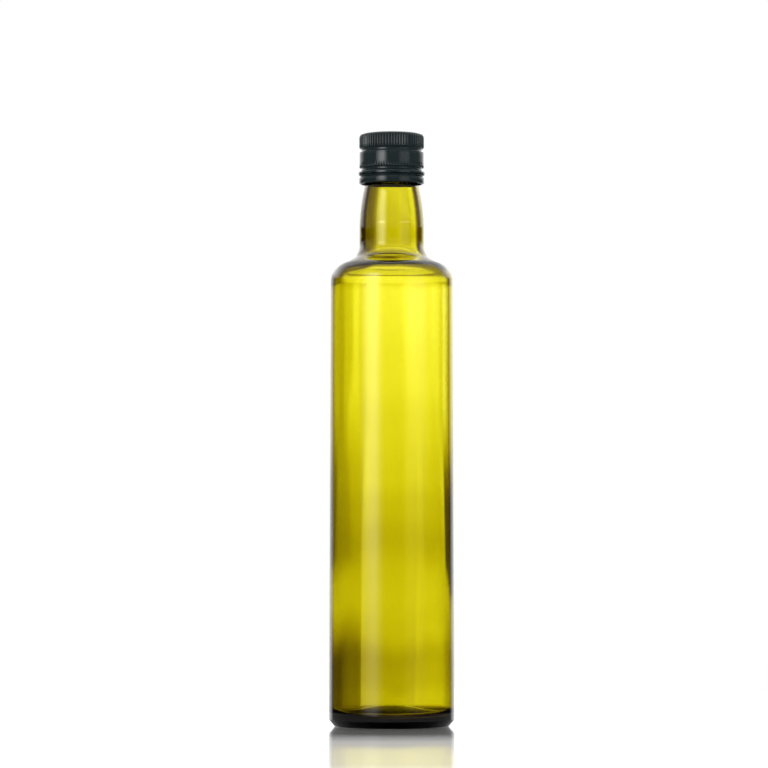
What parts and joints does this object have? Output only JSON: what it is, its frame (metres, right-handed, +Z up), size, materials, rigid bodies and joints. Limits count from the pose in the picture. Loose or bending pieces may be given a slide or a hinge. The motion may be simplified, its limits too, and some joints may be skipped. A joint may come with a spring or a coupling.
{
  "type": "oil bottle",
  "caption": "Tall round empty glass oil bottle with sloping shoulder, short tapering neck, pushed-up base and a knurled aluminium screw cap with tamper band.",
  "frame": {"origin": "on the table, at the centre of the bottle's base", "axes": "+Z up along the bottle's axis from base to cap; the picture looks along +Y"},
  "size_m": [0.059, 0.059, 0.279],
  "materials": {
    "olive_glass": "clear polished, olive green",
    "black_lacquer": "satin black lacquer on aluminium"
  },
  "bodies": {
    "root": {"glass_bottle": "olive_glass", "screw_cap": "black_lacquer"}
  },
  "joints": []
}
